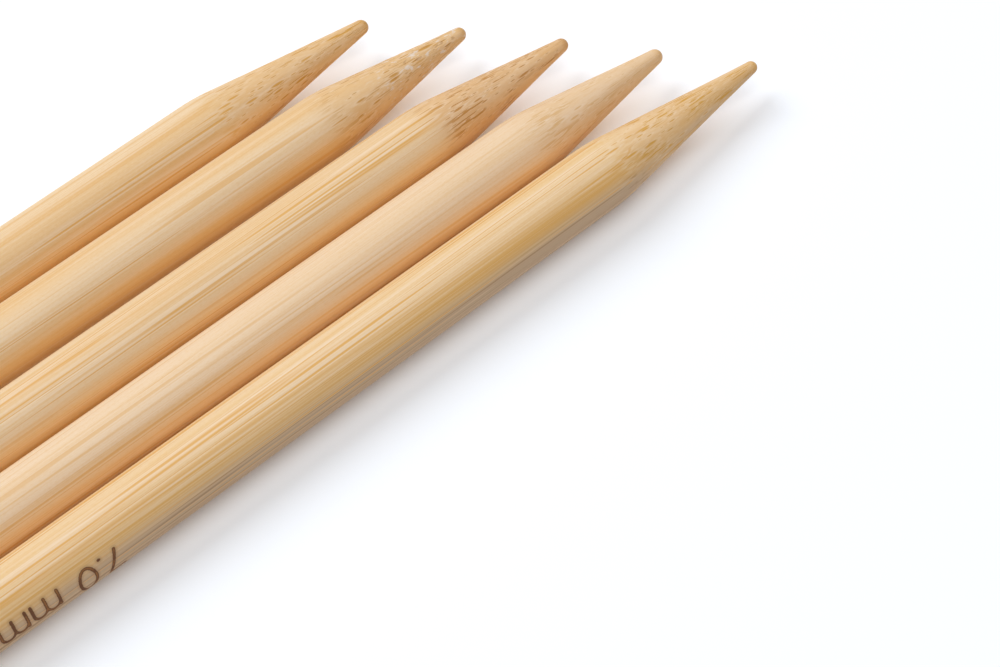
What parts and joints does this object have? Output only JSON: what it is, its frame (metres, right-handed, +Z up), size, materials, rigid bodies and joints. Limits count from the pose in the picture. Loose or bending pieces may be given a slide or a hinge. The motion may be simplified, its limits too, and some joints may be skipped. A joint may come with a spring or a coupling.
{
  "type": "double-pointed knitting needle set",
  "caption": "Double-pointed bamboo knitting needles: straight round rods with the same long point at both ends, for knitting in the round.",
  "frame": {"origin": "middle of the set's footprint, on the plane that the needles lie on", "axes": "+X along the needles towards the tips of the front needle, needle_5; +Y across them towards the back needle, needle_1; +Z up"},
  "size_m": [0.2262, 0.038, 0.007],
  "materials": {
    "bamboo": "fine-sanded bamboo, waxed to a low satin sheen"
  },
  "bodies": {
    "needle_1": {"needle_1": "bamboo"},
    "needle_2": {"needle_2": "bamboo"},
    "needle_3": {"needle_3": "bamboo"},
    "needle_4": {"needle_4": "bamboo"},
    "needle_5": {"needle_5": "bamboo"}
  },
  "joints": [
    {"name": "needle_1_slide", "type": "slide", "parent": "needle_3", "child": "needle_1", "axis": [1, 0, 0], "range_m": [-0.2, 0.2]},
    {"name": "needle_2_slide", "type": "slide", "parent": "needle_3", "child": "needle_2", "axis": [1, 0, 0], "range_m": [-0.2, 0.2]},
    {"name": "needle_4_slide", "type": "slide", "parent": "needle_3", "child": "needle_4", "axis": [1, 0, 0], "range_m": [-0.2, 0.2]},
    {"name": "needle_5_slide", "type": "slide", "parent": "needle_3", "child": "needle_5", "axis": [1, 0, 0], "range_m": [-0.2, 0.2]}
  ]
}
